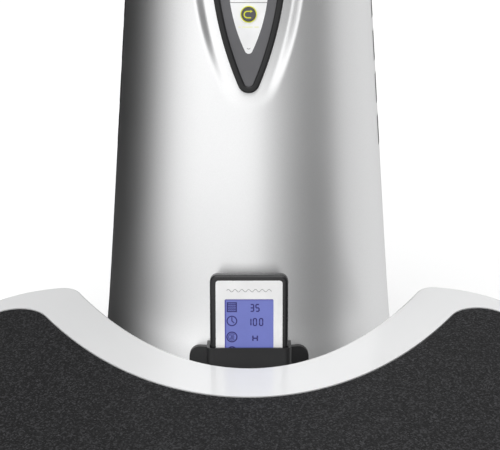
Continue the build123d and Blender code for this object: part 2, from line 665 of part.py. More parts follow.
case_outline = rounded(REMOTE_WIDTH, REMOTE_HEIGHT, 9, (0, REMOTE_MIDDLE))
case_hollow = rounded(REMOTE_WIDTH - 4, REMOTE_HEIGHT - 4, 7, (0, REMOTE_MIDDLE))
face_outline = rounded(77.6, 142, 3.5, (0, REMOTE_MIDDLE))
key_places = list(REMOTE_BUTTONS.values())
window_width, window_length, window_middle = REMOTE_WINDOW
cover_thickness = 2.0

with BuildPart() as remote_case:
    prism(case_outline, (-REMOTE_THICKNESS, 0), REMOTE)
    fillet(remote_case.faces().sort_by(remote_out)[-1].edges(), 4)
    fillet(remote_case.faces().sort_by(remote_out)[0].edges(), 1.5)
    prism(case_hollow, (-REMOTE_THICKNESS, -REMOTE_WALL), REMOTE, Mode.SUBTRACT)
    prism(face_outline, (-FACE_DEPTH, 0), REMOTE, Mode.SUBTRACT)
    prism(rounded(window_width + 2, window_length + 2, 1, (0, window_middle)), (-REMOTE_WALL, 0), REMOTE,
          Mode.SUBTRACT)
    posts(key_places, REMOTE_KEY_RADIUS + CLEAR, (-REMOTE_WALL, 0), REMOTE, Mode.SUBTRACT)
save(remote_case, "remote_case")

with BuildPart() as remote_face:
    prism(face_outline, (-FACE_DEPTH, 0), REMOTE)
    prism(rounded(window_width, window_length, 1.5, (0, window_middle)), (-FACE_DEPTH, 0), REMOTE,
          Mode.SUBTRACT)
    posts(key_places, REMOTE_KEY_RADIUS + CLEAR, (-FACE_DEPTH, 0), REMOTE, Mode.SUBTRACT)
save(remote_face, "remote_face")

with BuildPart() as remote_lcd:
    prism(rounded(window_width + 2, window_length + 2, 1, (0, window_middle)), (-5, -FACE_DEPTH), REMOTE)
save(remote_lcd, "remote_lcd")

with BuildPart() as remote_back_cover:
    prism(case_hollow, (-REMOTE_THICKNESS, cover_thickness - REMOTE_THICKNESS), REMOTE)
    for groove in range(5):
        block((-15, 15), (60 + 5 * groove, 61.5 + 5 * groove), (-REMOTE_THICKNESS, 0.8 - REMOTE_THICKNESS),
              REMOTE, Mode.SUBTRACT)
save(remote_back_cover, "remote_back_cover")

for name, place in REMOTE_BUTTONS.items():
    with BuildPart() as remote_button:
        posts([place], REMOTE_KEY_RADIUS, (-4.5, 0.4), REMOTE)
        posts([place], REMOTE_KEY_RADIUS + 1.2, (-4.5, -3.4), REMOTE)
    save(remote_button, f"remote_button_{name}")

# ---------------------------------------------------------------- platform

with BuildPart() as platform_shell:
    prism(platform_plan(0, 0, 25), (PLATFORM_BOTTOM_Z, DECK_Z))
    fillet(platform_shell.edges().group_by(Axis.Z)[-1], 4)
    prism(notch_outline(LIP_SETBACK), (PLATFORM_BOTTOM_Z, LIP_BOTTOM_Z), mode=Mode.SUBTRACT)
    prism(platform_plan(5, LIP_SETBACK + 5, 15), (PLATFORM_BOTTOM_Z, DECK_BOTTOM_Z), mode=Mode.SUBTRACT)
    prism(platform_plan(MAT_BORDER, RIM_WIDTH, 40), (MAT_FLOOR_Z, DECK_Z), mode=Mode.SUBTRACT)
    posts(DECK_BOLTS, 9, (PLATE_Z[1], DECK_BOTTOM_Z))
    posts(DECK_BOLTS, 3.2, (PLATE_Z[1], 190), mode=Mode.SUBTRACT)
save(platform_shell, "platform_shell")

with BuildPart() as platform_mat:
    prism(platform_plan(MAT_BORDER, RIM_WIDTH, 40), (MAT_FLOOR_Z, MAT_TOP_Z))
    chamfer(platform_mat.edges().group_by(Axis.Z)[-1], 0.8)
save(platform_mat, "platform_mat")

rib = 3.0
motor_bolts = [(side * 48, y + row * 50) for y in MOTORS.values() for row in (-1, 1) for side in (-1, 1)]
foot_bottom = MOTOR_Z + MOTOR_RADIUS - 10
foot_top = MOTOR_Z + MOTOR_RADIUS

with BuildPart() as platform_frame:
    prism(platform_plan(14, LIP_SETBACK + 14, 15), PLATE_Z)
    for x in (-230, -80, 80, 230):
        block((x - rib, x + rib), (-380, -20), (PLATE_Z[1], DECK_BOTTOM_Z))
    for y in (-350, -30):
        block((-300, 300), (y - rib, y + rib), (PLATE_Z[1], DECK_BOTTOM_Z))
    posts(ISOLATORS, 32, (ISOLATOR_Z[1], PLATE_Z[0]))
    for y in MOTORS.values():
        block((-MOTOR_FOOT[0], MOTOR_FOOT[0]), (y - MOTOR_FOOT[1], y + MOTOR_FOOT[1]), (foot_top, PLATE_Z[0]))
    posts(DECK_BOLTS, 3.2, PLATE_Z, mode=Mode.SUBTRACT)
    posts(motor_bolts, 5.2, (foot_top, PLATE_Z[0]), mode=Mode.SUBTRACT)
save(platform_frame, "platform_frame")

with BuildPart() as platform_bolts:
    posts(DECK_BOLTS, 3, (PLATE_Z[0], 185))
    posts(DECK_BOLTS, 7, (PLATE_Z[0] - 4, PLATE_Z[0]))
    posts(motor_bolts, 5, (foot_bottom, PLATE_Z[0]))
    posts(motor_bolts, 8, (foot_bottom - 6, foot_bottom))
save(platform_bolts, "platform_bolts")

# ---------------------------------------------------------------- vibration motors

bell = (MOTOR_HALF_LENGTH - 8, MOTOR_HALF_LENGTH)
stator_half = 70.0


def along_x(y, radius, near, far, mode=Mode.ADD):
    """A cylinder on a motor's axis between two places across the machine."""
    with Locations(((near + far) / 2, y, MOTOR_Z)):
        Cylinder(radius, far - near, rotation=(0, 90, 0), mode=mode)


def both_ends(y, radius, span, mode=Mode.ADD):
    """The same cylinder at both ends of a motor."""
    along_x(y, radius, -span[1], -span[0], mode)
    along_x(y, radius, span[0], span[1], mode)


for name, y in MOTORS.items():
    with BuildPart() as motor:
        along_x(y, MOTOR_RADIUS, -MOTOR_HALF_LENGTH, MOTOR_HALF_LENGTH)
        block((-MOTOR_FOOT[0], MOTOR_FOOT[0]), (y - 40, y + 40), (MOTOR_Z, foot_top))
        block((-MOTOR_FOOT[0], MOTOR_FOOT[0]), (y - MOTOR_FOOT[1], y + MOTOR_FOOT[1]), (foot_bottom, foot_top))
        along_x(y, MOTOR_RADIUS - 4, -bell[0], bell[0], Mode.SUBTRACT)
        along_x(y, MOTOR_RADIUS - 4, -stator_half, stator_half)
        along_x(y, 28.5, -stator_half, stator_half, Mode.SUBTRACT)
        both_ends(y, BEARING_RADIUS, bell, Mode.SUBTRACT)
        for fin in range(8):
            with Locations((-56 + 16 * fin, y, MOTOR_Z - MOTOR_RADIUS)):
                Box(5, 30, 6, align=(Align.CENTER, Align.CENTER, Align.MIN), mode=Mode.SUBTRACT)
        posts([place for place in motor_bolts if abs(place[1] - y) < 60], 5.2, (foot_bottom, foot_top),
              mode=Mode.SUBTRACT)
    save(motor, f"motor_{name}")

    with BuildPart() as rotor:
        along_x(y, SHAFT_RADIUS, -148, 148)
        along_x(y, 27.5, 2 - stator_half, stator_half - 2)
    save(rotor, f"rotor_{name}")

    with BuildPart() as weights:
        both_ends(y, WEIGHT_RADIUS, WEIGHT_SPAN)
        block((-WEIGHT_SPAN[1], WEIGHT_SPAN[1]), (y - WEIGHT_RADIUS, y + WEIGHT_RADIUS),
              (MOTOR_Z, MOTOR_Z + WEIGHT_RADIUS), mode=Mode.SUBTRACT)
        both_ends(y, 14, WEIGHT_SPAN)
        along_x(y, SHAFT_RADIUS, -WEIGHT_SPAN[1], WEIGHT_SPAN[1], Mode.SUBTRACT)
    save(weights, f"eccentric_weights_{name}")

with BuildPart() as motor_end_covers:
    for y in MOTORS.values():
        both_ends(y, MOTOR_RADIUS - 4, (MOTOR_HALF_LENGTH, COVER_END))
    fillet(motor_end_covers.faces().filter_by(Plane.YZ).edges(), 3)
    for y in MOTORS.values():
        both_ends(y, MOTOR_RADIUS - 7, (MOTOR_HALF_LENGTH, COVER_END - 3), Mode.SUBTRACT)
save(motor_end_covers, "motor_end_covers")

with BuildPart() as motor_bearings:
    for y in MOTORS.values():
        both_ends(y, BEARING_RADIUS, bell)
        along_x(y, SHAFT_RADIUS + CLEAR, -bell[1], bell[1], Mode.SUBTRACT)
save(motor_bearings, "motor_bearings")
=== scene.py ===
"""Vibration plate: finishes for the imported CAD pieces, a smooth front shell for the column, the printed
marks on console and remote, and a pale studio."""

from math import asin, atan2, cos, exp, hypot, pi, radians, sin, sqrt, tan

import bmesh
import bpy
from mathutils import Matrix, Vector


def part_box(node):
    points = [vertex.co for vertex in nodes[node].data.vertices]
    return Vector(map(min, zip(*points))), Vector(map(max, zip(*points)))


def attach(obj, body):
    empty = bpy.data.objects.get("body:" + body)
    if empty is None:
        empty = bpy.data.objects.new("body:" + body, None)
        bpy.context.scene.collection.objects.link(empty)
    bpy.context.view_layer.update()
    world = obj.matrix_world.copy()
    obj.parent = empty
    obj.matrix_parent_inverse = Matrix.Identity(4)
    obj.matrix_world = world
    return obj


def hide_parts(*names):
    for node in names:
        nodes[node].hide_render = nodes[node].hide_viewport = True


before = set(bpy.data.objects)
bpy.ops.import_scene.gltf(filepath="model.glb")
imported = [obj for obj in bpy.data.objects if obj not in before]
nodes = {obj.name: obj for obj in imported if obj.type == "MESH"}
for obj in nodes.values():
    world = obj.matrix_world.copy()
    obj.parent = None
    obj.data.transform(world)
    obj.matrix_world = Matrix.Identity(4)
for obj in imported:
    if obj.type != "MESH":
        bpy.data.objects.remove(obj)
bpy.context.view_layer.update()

MM = 0.001

# ---------------------------------------------------------------- sizes shared with the CAD, in metres

DECK_Z = 218 * MM
BASE_TOP_Z = 135 * MM
COLUMN_TOP_Z = 1180 * MM
COLUMN_FRONT_Y = 76 * MM
COLUMN_REAR_Y = 450 * MM
COLUMN_HALF_WIDTH = 180.5 * MM
FRONT_SLOPE = tan(radians(15))
REAR_SLOPE = 0.0187
SIDE_SLOPE = 0.08
FLARE = 2.5 * MM
FLARE_HEIGHT = 45 * MM
SHELL_WALL = 4 * MM
CONSOLE_TIP = Vector((0, 149.1, 506.4)) * MM
CONSOLE_LEAN = radians(18)
REMOTE_STANDOFF = 26 * MM
REMOTE_LEAN = radians(15)


def leaning_frame(origin, lean):
    """Matrix from a leaning face's own frame (x across, y up the face, z out of it) to the row frame."""
    up = Vector((0, sin(lean), cos(lean)))
    out = Vector((0, -cos(lean), sin(lean)))
    across = Vector((1, 0, 0))
    matrix = Matrix((across, up, out)).transposed().to_4x4()
    matrix.translation = origin
    return matrix


CONSOLE = leaning_frame(CONSOLE_TIP, CONSOLE_LEAN)
REMOTE_Y = COLUMN_FRONT_Y - REMOTE_STANDOFF / cos(REMOTE_LEAN)
REMOTE = leaning_frame(Vector((0, REMOTE_Y, DECK_Z)), REMOTE_LEAN)


# ---------------------------------------------------------------- materials


class Finish:
    """A Principled material with helpers for procedural detail in object space."""

    def __init__(self, name, color, roughness, metallic=0.0, **sockets):
        self.material = bpy.data.materials.new(name)
        self.material.use_nodes = True
        self.tree = self.material.node_tree
        self.shader = self.tree.nodes["Principled BSDF"]
        self.color = color
        self.set("Base Color", (*color, 1))
        self.set("Roughness", roughness)
        self.set("Metallic", metallic)
        for socket, value in sockets.items():
            self.set(socket.replace("_", " "), value)
        self.coordinates = self.tree.nodes.new("ShaderNodeTexCoord").outputs["Object"]
        self.height = None

    def set(self, socket, value):
        self.shader.inputs[socket].default_value = value

    def link(self, source, target):
        self.tree.links.new(source, target)

    def stretched(self, scale):
        """Object coordinates scaled per axis."""
        mapping = self.tree.nodes.new("ShaderNodeMapping")
        mapping.inputs["Scale"].default_value = scale
        self.link(self.coordinates, mapping.inputs["Vector"])
        return mapping.outputs["Vector"]

    def noise(self, scale, detail=4.0, rough=0.55, stretch=(1, 1, 1)):
        texture = self.tree.nodes.new("ShaderNodeTexNoise")
        texture.inputs["Scale"].default_value = scale
        texture.inputs["Detail"].default_value = detail
        texture.inputs["Roughness"].default_value = rough
        self.link(self.stretched(stretch), texture.inputs["Vector"])
        return texture.outputs["Fac"]

    def cells(self, scale, output="Distance"):
        texture = self.tree.nodes.new("ShaderNodeTexVoronoi")
        texture.inputs["Scale"].default_value = scale
        self.link(self.coordinates, texture.inputs["Vector"])
        return texture.outputs[output]

    def spread(self, source, low, high, start=0.0, stop=1.0):
        """Maps a value from start..stop to low..high."""
        node = self.tree.nodes.new("ShaderNodeMapRange")
        for socket, value in (("From Min", start), ("From Max", stop), ("To Min", low), ("To Max", high)):
            node.inputs[socket].default_value = value
        self.link(source, node.inputs["Value"])
        return node.outputs["Result"]

    def tint(self, source, dark, light, start=0.3, stop=0.7):
        """Base colour that wanders between two multiples of the finish's colour."""
        ramp = self.tree.nodes.new("ShaderNodeValToRGB")
        first, last = ramp.color_ramp.elements
        first.position, last.position = start, stop
        first.color = (*[c * dark for c in self.color], 1)
        last.color = (*[min(1.0, c * light) for c in self.color], 1)
        self.link(source, ramp.inputs["Fac"])
        self.link(ramp.outputs["Color"], self.shader.inputs["Base Color"])
        return self

    def rough(self, source, low, high, start=0.3, stop=0.7):
        self.link(self.spread(source, low, high, start, stop), self.shader.inputs["Roughness"])
        return self

    def bump(self, source, distance, strength=1.0):
        """Adds a bump under any earlier one."""
        node = self.tree.nodes.new("ShaderNodeBump")
        node.inputs["Strength"].default_value = strength
        node.inputs["Distance"].default_value = distance
        self.link(source, node.inputs["Height"])
        if self.height:
            self.link(self.height, node.inputs["Normal"])
        self.height = node.outputs["Normal"]
        self.link(self.height, self.shader.inputs["Normal"])
        return self


def satin_silver():
    """Satin metallic paint, brushed round the column, so that it blurs its reflections up and down."""
    finish = Finish("silver_shell", (0.885, 0.888, 0.892), 0.42, 0.98,
                    Anisotropic=0.74, Anisotropic_Rotation=0.25)
    round_axis = finish.tree.nodes.new("ShaderNodeTangent")
    round_axis.direction_type = "RADIAL"
    round_axis.axis = "Z"
    finish.link(round_axis.outputs["Tangent"], finish.shader.inputs["Tangent"])
    finish.rough(finish.noise(14, 3), 0.41, 0.43)
    finish.tint(finish.noise(1100, 2, 0.7, (1, 1, 0.5)), 0.96, 1.0, 0.35, 0.65)
    finish.bump(finish.noise(26, 1), 0.00001, 0.3)
    return finish.material


def white_gloss():
    """Glossy moulded rim with the slightest orange peel."""
    finish = Finish("white_gloss", (0.728, 0.731, 0.734), 0.2, Coat_Weight=0.5, Coat_Roughness=0.06)
    finish.tint(finish.noise(4, 3), 0.975, 1.01)
    finish.rough(finish.noise(30, 4), 0.17, 0.25)
    finish.bump(finish.noise(160, 2), 0.00006, 0.35)
    return finish.material


def granular_mat():
    """Black rubber crumb: fine grains in slightly different greys that catch the light."""
    finish = Finish("black_mat", (0.0165, 0.0165, 0.0175), 0.8, Specular_IOR_Level=0.2)
    grains = finish.cells(520)
    finish.tint(finish.cells(560, output="Color"), 0.6, 3.0, 0.5, 1.0)
    finish.rough(finish.noise(300, 3), 0.6, 0.88)
    finish.bump(grains, 0.0009, 0.9)
    finish.bump(finish.noise(900, 3), 0.0004, 0.6)
    return finish.material


def moulded(name, color, roughness, grain=900, depth=0.00005, **sockets):
    """Moulded plastic with a fine spark-eroded texture."""
    finish = Finish(name, color, roughness, **sockets)
    finish.tint(finish.noise(18, 3), 0.9, 1.08)
    finish.rough(finish.noise(60, 3), roughness - 0.05, roughness + 0.07)
    finish.bump(finish.noise(grain, 3), depth, 0.6)
    return finish.material


def rubber(name):
    """Plain black rubber, a little dusty."""
    finish = Finish(name, (0.03, 0.03, 0.031), 0.7, Specular_IOR_Level=0.35)
    finish.tint(finish.noise(40, 5), 0.7, 1.4)
    finish.rough(finish.noise(90, 3), 0.6, 0.82)
    finish.bump(finish.noise(500, 4), 0.0002, 0.6)
    return finish.material


def foam():
    """Closed-cell grip foam: small open pores at the surface."""
    finish = Finish("foam_grip", (0.035, 0.035, 0.036), 0.88, Sheen_Weight=0.25, Sheen_Roughness=0.5,
                    Specular_IOR_Level=0.25)
    pores = finish.cells(900)
    finish.tint(finish.noise(70, 4), 0.7, 1.5)
    finish.bump(pores, 0.0006, 0.8)
    return finish.material


def metal(name, color, roughness, stretch=(1, 1, 1)):
    """Bare metal: grainy where cast, and streaked across the stretched axes where turned or drawn."""
    finish = Finish(name, color, roughness, 1.0)
    streaks = finish.noise(300, 5, 0.6, stretch)
    finish.tint(finish.noise(25, 4), 0.85, 1.05)
    finish.rough(streaks, roughness - 0.08, roughness + 0.1)
    finish.bump(streaks, 0.00005, 0.5)
    return finish.material


def coated_steel(name, color, roughness=0.45, metallic=0.0):
    """Powder coat: a fine even pebble."""
    finish = Finish(name, color, roughness, metallic)
    finish.tint(finish.noise(12, 3), 0.9, 1.08)
    finish.rough(finish.noise(50, 3), roughness - 0.06, roughness + 0.08)
    finish.bump(finish.noise(700, 2), 0.00012, 0.5)
    return finish.material


def display(name, color, glow):
    """A backlit display under its film, a little uneven."""
    finish = Finish(name, color, 0.3, Emission_Strength=1.0)
    finish.set("Emission Color", (*glow, 1))
    finish.tint(finish.noise(35, 3), 0.88, 1.1)
    finish.bump(finish.noise(1500, 2), 0.00002, 0.3)
    return finish.material


def clear_window():
    """The display's clear cover, slightly uneven in its gloss."""
    finish = Finish("window", (0.75, 0.8, 0.88), 0.06, IOR=1.45, Alpha=0.28)
    finish.rough(finish.noise(40, 3), 0.05, 0.11)
    return finish.material


def printed(name, color, glow=0.0):
    """Printed ink or display segment; also the painted shadow along the remote display's edges."""
    finish = Finish(name, color, 0.5, Emission_Strength=glow)
    finish.set("Emission Color", (*color, 1))
    finish.tint(finish.noise(200, 3), 0.92, 1.05)
    return finish.material


MATERIALS = {
    "silver_shell": satin_silver(),
    "white_gloss": white_gloss(),
    "black_mat": granular_mat(),
    "charcoal": moulded("charcoal", (0.055, 0.055, 0.058), 0.42),
    "case": moulded("remote_case_black", (0.008, 0.008, 0.009), 0.24),
    "black_plastic": moulded("black_plastic", (0.017, 0.017, 0.018), 0.42, Specular_IOR_Level=0.35),
    "bezel": moulded("bezel_black", (0.012, 0.012, 0.013), 0.33, 1400, 0.00002, Specular_IOR_Level=0.35),
    "gray_panel": moulded("gray_panel", (0.115, 0.114, 0.122), 0.5),
    "label": moulded("label_white", (0.86, 0.862, 0.868), 0.4, 1600, 0.00001),
    "face": moulded("face_white", (0.93, 0.932, 0.935), 0.36, 1600, 0.00001),
    "button": moulded("button_gray", (0.085, 0.083, 0.09), 0.5),
    "rubber": rubber("black_rubber"),
    "foam": foam(),
    "frame_steel": coated_steel("frame_steel", (0.05, 0.05, 0.054)),
    "tube_steel": coated_steel("tube_steel", (0.62, 0.625, 0.63), 0.32, 0.8),
    "bolt_steel": metal("bolt_steel", (0.6, 0.6, 0.58), 0.35),
    "motor": metal("motor_aluminium", (0.55, 0.56, 0.57), 0.5),
    "rotor": metal("rotor_steel", (0.5, 0.5, 0.51), 0.3, (1, 8, 8)),
    "iron": metal("weight_iron", (0.22, 0.22, 0.23), 0.6),
    "inverter": metal("inverter_gray", (0.4, 0.41, 0.42), 0.45, (1, 1, 9)),
    "board": moulded("board_green", (0.03, 0.16, 0.07), 0.4),
    "lcd": display("lcd_blue", (0.06, 0.068, 0.2), (0.1, 0.12, 0.34)),
    "window": clear_window(),
}

FINISH_OF = {
    "silver_shell": ["column_front_shell", "column_rear_shell"],
    "white_gloss": ["platform_shell", "column_top_cap"],
    "black_mat": ["platform_mat"],
    "charcoal": ["base_cover"],
    "case": ["remote_case", "remote_back_cover"],
    "black_plastic": ["dock", "service_panel", "power_inlet", "fuse_holder", "handlebar_collars"],
    "bezel": ["console_bezel"],
    "gray_panel": ["console_panel"],
    "label": ["console_label"],
    "face": ["remote_face"],
    "button": ["power_rocker"] + [n for n in nodes if "_button_" in n],
    "rubber": ["rubber_feet", "isolators", "transport_wheel_left", "transport_wheel_right"],
    "foam": ["grip_left", "grip_right"],
    "frame_steel": ["base_frame", "bottom_pan", "mast", "handlebar_brackets", "platform_frame"],
    "tube_steel": ["handlebar_left", "handlebar_right"],
    "bolt_steel": ["foot_bolts", "wheel_axles", "mast_bolts", "column_screws", "platform_bolts"],
    "motor": ["motor_front", "motor_rear", "motor_end_covers"],
    "rotor": ["motor_bearings", "rotor_front", "rotor_rear"],
    "iron": ["eccentric_weights_front", "eccentric_weights_rear"],
    "inverter": ["inverter_box"],
    "board": ["console_board"],
    "lcd": ["console_lcd", "remote_lcd"],
    "window": ["console_window"],
}

for finish_name, members in FINISH_OF.items():
    for member in members:
        mesh = nodes[member].data
        mesh.materials.clear()
        mesh.materials.append(MATERIALS[finish_name])


# ---------------------------------------------------------------- mesh helpers


def join_rows(mesh, rows, flip=False):
    """Faces between neighbouring rows of vertices."""
    for lower, upper in zip(rows, rows[1:]):
        for i in range(len(lower) - 1):
            corners = (lower[i], lower[i + 1], upper[i + 1], upper[i])
            mesh.faces.new(tuple(reversed(corners)) if flip else corners)


def mesh_piece(name, mesh_data, material, body, smooth=True):
    """A new object from a bmesh, which rides on a body."""
    mesh = bpy.data.meshes.new(name)
    mesh_data.to_mesh(mesh)
    mesh_data.free()
    mesh.materials.append(material)
    mesh.polygons.foreach_set("use_smooth", [smooth] * len(mesh.polygons))
    piece = bpy.data.objects.new(name, mesh)
    bpy.context.scene.collection.objects.link(piece)
    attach(piece, body)
    return piece


# ---------------------------------------------------------------- column's front shell

# the console's shield, from its tip up: sides that bow out to its widest, straight, and a round top
CONSOLE_HALF_WIDTH = 44.3 * MM
CONSOLE_TIP_RADIUS = 13 * MM
CONSOLE_SIDE_RADIUS = 400 * MM
CONSOLE_WIDEST = 165.5 * MM
CONSOLE_LENGTH = 444 * MM
# the shallow recess round it: where its wall stands, how wide and deep that is, and where it runs out
RECESS_MARGIN = 16 * MM
RECESS_EDGE = 6.5 * MM
RECESS_DEPTH = 8 * MM
RECESS_SINK = 0.1
RECESS_END_Z = 497 * MM
RECESS_START = 12 * MM
RECESS_FLOOR_TURN = 2 * MM
# behind the bezel the shell dives below the console's bed
PANEL_BED = -12.5 * MM
PANEL_EDGE = 3.5 * MM
ACROSS = 320
UPWARD = 500


def column_section(z):
    """(half width, front y, rear y) of the column's oval at a height."""
    rise = z - DECK_Z
    flare = FLARE * exp(-(z - BASE_TOP_Z) / FLARE_HEIGHT)
    half_width = COLUMN_HALF_WIDTH - SIDE_SLOPE * rise + flare
    front = COLUMN_FRONT_Y + FRONT_SLOPE * rise - flare
    rear = COLUMN_REAR_Y + REAR_SLOPE * rise + flare / 2
    return half_width, front, rear


def column_point(z, turn):
    """The column's surface at a height and a turn round it: 0 in front, a quarter turn at its right side."""
    half_width, front, rear = column_section(z)
    return Vector((half_width * sin(turn), (front + rear) / 2 - (rear - front) / 2 * cos(turn), z))


def console_distance(x, y):
    """Signed distance from the console's shield outline, in its own plane; positive outside."""
    x = abs(x)
    centre_x = CONSOLE_HALF_WIDTH - CONSOLE_SIDE_RADIUS
    inner_radius = CONSOLE_SIDE_RADIUS - CONSOLE_TIP_RADIUS
    drop = sqrt(inner_radius ** 2 - centre_x ** 2)
    if y > CONSOLE_LENGTH - CONSOLE_HALF_WIDTH:
        return hypot(x, y - CONSOLE_LENGTH + CONSOLE_HALF_WIDTH) - CONSOLE_HALF_WIDTH
    if y > CONSOLE_WIDEST:
        return x - CONSOLE_HALF_WIDTH
    if atan2(CONSOLE_WIDEST - y, x - centre_x) < asin(drop / inner_radius):
        return hypot(x - centre_x, y - CONSOLE_WIDEST) - CONSOLE_SIDE_RADIUS
    return hypot(x, y - CONSOLE_WIDEST + drop) - CONSOLE_TIP_RADIUS


def soft_ramp(value, width):
    """0 for values well under 0, the value itself well over 0, and a smooth turn of about width between."""
    return (value + sqrt(value * value + width * width)) / 2


def smooth_step(value, start, stop):
    t = min(1.0, max(0.0, (value - start) / (stop - start)))
    return t * t * (3 - 2 * t)


def recessed(point):
    """Presses a point of the column's oval down into the shallow recess round the console."""
    local = CONSOLE.inverted() @ point
    away = console_distance(local.x, local.y)
    if away > RECESS_MARGIN + RECESS_EDGE:
        return point
    depth = RECESS_SINK * soft_ramp(point.z - RECESS_END_Z, RECESS_START)
    depth = RECESS_DEPTH - soft_ramp(RECESS_DEPTH - depth, RECESS_FLOOR_TURN)
    local.z -= depth * (1 - smooth_step(away, RECESS_MARGIN - RECESS_EDGE, RECESS_MARGIN + RECESS_EDGE))
    if away < -PANEL_EDGE:
        local.z = min(local.z, PANEL_BED)
    return CONSOLE @ local


def column_front():
    """The front half of the column as one smooth shell, with the recess pressed into it."""
    shell = bmesh.new()
    rows = []
    for j in range(UPWARD + 1):
        z = BASE_TOP_Z + (COLUMN_TOP_Z - BASE_TOP_Z) * j / UPWARD
        turns = [pi * (i / ACROSS - 0.5) for i in range(ACROSS + 1)]
        rows.append([shell.verts.new(recessed(column_point(z, turn))) for turn in turns])
    join_rows(shell, rows)
    piece = mesh_piece("column_front", shell, MATERIALS["silver_shell"], "base")
    wall = piece.modifiers.new("wall", "SOLIDIFY")
    wall.thickness = SHELL_WALL
    wall.offset = -1
    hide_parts("column_front_shell")


column_front()


# ---------------------------------------------------------------- printed marks


class Print:
    """Thin raised print on a leaning face, gathered from simple shapes given in millimetres."""

    def __init__(self, plane, level, thickness=0.08):
        self.plane = plane
        self.level = level
        self.thickness = thickness
        self.mesh = bmesh.new()

    def shape(self, outline):
        """A closed flat outline raised by the print's thickness."""
        def ring(height):
            return [self.mesh.verts.new(self.plane @ (Vector((x, y, height)) * MM)) for x, y in outline]
        low, high = ring(self.level), ring(self.level + self.thickness)
        self.mesh.faces.new(high)
        self.mesh.faces.new(list(reversed(low)))
        for i in range(len(outline)):
            k = (i + 1) % len(outline)
            self.mesh.faces.new((low[i], low[k], high[k], high[i]))

    def bar(self, start, end, width):
        """A straight stroke with square ends."""
        along = Vector((end[0] - start[0], end[1] - start[1])).normalized()
        side = Vector((-along.y, along.x)) * width / 2
        a, b = Vector(start), Vector(end)
        self.shape([a - side, b - side, b + side, a + side])

    def path(self, points, width, closed=False):
        """A stroke through several points, mitred where it turns."""
        points = [Vector(p) for p in points]
        count = len(points)
        left, right = [], []
        for i, point in enumerate(points):
            before = points[i - 1] if i or closed else None
            after = points[(i + 1) % count] if i + 1 < count or closed else None
            inward = (point - before).normalized() if before is not None else (after - point).normalized()
            outward = (after - point).normalized() if after is not None else inward
            along = (inward + outward).normalized()
            side = Vector((-along.y, along.x)) * width / 2 / max(0.5, along.dot(inward))
            left.append(point + side)
            right.append(point - side)
        pairs = range(count if closed else count - 1)
        for i in pairs:
            k = (i + 1) % count
            self.shape([right[i], right[k], left[k], left[i]])

    def ring(self, centre, radius, width, start=0.0, stop=360.0, steps=48):
        angles = [radians(start + (stop - start) * i / steps) for i in range(steps + 1)]
        closed = stop - start >= 360
        if closed:
            angles.pop()
        points = [(centre[0] + radius * cos(a), centre[1] + radius * sin(a)) for a in angles]
        self.path(points, width, closed)

    def digit(self, centre, height, segments, width=1.5, half_width=1.65):
        """A seven-segment figure; segments lists which of a..g are lit."""
        h, w = height / 2, half_width
        places = {
            "a": ((-w, h), (w, h)), "b": ((w, h), (w, 0)), "c": ((w, 0), (w, -h)), "d": ((-w, -h), (w, -h)),
            "e": ((-w, 0), (-w, -h)), "f": ((-w, h), (-w, 0)), "g": ((-w, 0), (w, 0)),
        }
        gap = width * 0.12
        for segment in segments:
            (x0, y0), (x1, y1) = places[segment]
            run = Vector((x1 - x0, y1 - y0)).normalized() * gap
            self.bar((centre[0] + x0 + run.x, centre[1] + y0 + run.y),
                     (centre[0] + x1 - run.x, centre[1] + y1 - run.y), width)

    def finish(self, name, material, body, slot):
        bmesh.ops.recalc_face_normals(self.mesh, faces=self.mesh.faces)
        return mesh_piece(name, self.mesh, material, body, smooth=False)


SEGMENTS = {"0": "abcdef", "1": "bc", "2": "abdeg", "3": "abcdg", "5": "acdfg", "H": "bcefg"}
LCD_INK = printed("lcd_ink", (0.024, 0.018, 0.16))
# the next material is a painted shadow: a darker, dimmer blue for the shade the frame casts on the remote
# display's top and left edges
LCD_PAINTED_SHADOW = printed("lcd_painted_shadow", (0.045, 0.035, 0.24), 0.5)
LIME = printed("lime_print", (0.72, 0.74, 0.03))
PALE_LIME = printed("pale_lime_print", (0.87, 0.88, 0.62))
GRAY_PRINT = printed("gray_print", (0.3, 0.3, 0.31))
GRAPHITE = printed("graphite_print", (0.03, 0.03, 0.032))

# levels over the leaning faces and places on them, in millimetres
LCD_LEVEL = -0.79
ICON_X = -20.0
LABEL_LEVEL = -0.5
KEY_LEVEL = 0.8
KEY = (0.0, 89.2)
DASH_HEIGHT = 36
DASH_PITCH = 52
DASH_BOTTOM = 400
DASH_COUNT = 6


def frequency_icon(ink, y):
    """A square frame with four rippled lines."""
    half = 5.2
    for side in (-1, 1):
        ink.bar((ICON_X + side * half, y - 5.8), (ICON_X + side * half, y + 5.8), 1.3)
        ink.bar((ICON_X - 5.7, y + side * half), (ICON_X + 5.7, y + side * half), 1.3)
    for line in range(4):
        level = y - 3.1 + 2.1 * line
        ripple = [(ICON_X - 4.6 + 1.15 * k, level + (0.4 if k % 2 else -0.4)) for k in range(9)]
        ink.path(ripple, 0.95)


def clock_icon(ink, y):
    """A ring with two hands."""
    ink.ring((ICON_X, y), 5.6, 1.3)
    ink.path([(ICON_X, y + 4.6), (ICON_X, y), (ICON_X + 2.8, y - 2.6)], 1.2)


def strength_icon(ink, y):
    """Open rings inside each other."""
    ink.ring((ICON_X, y), 5.8, 1.4)
    for radius, start, stop in ((3.9, 40, 320), (2.3, 200, 500), (0.9, 0, 360)):
        ink.ring((ICON_X, y), radius, 0.75, start, stop, 30)


def dial_icon(ink, y):
    """A ring with one slanting hand."""
    ink.ring((ICON_X, y), 5.3, 1.3)
    ink.bar((ICON_X, y), (ICON_X + 2.6, y + 2.8), 1.1)


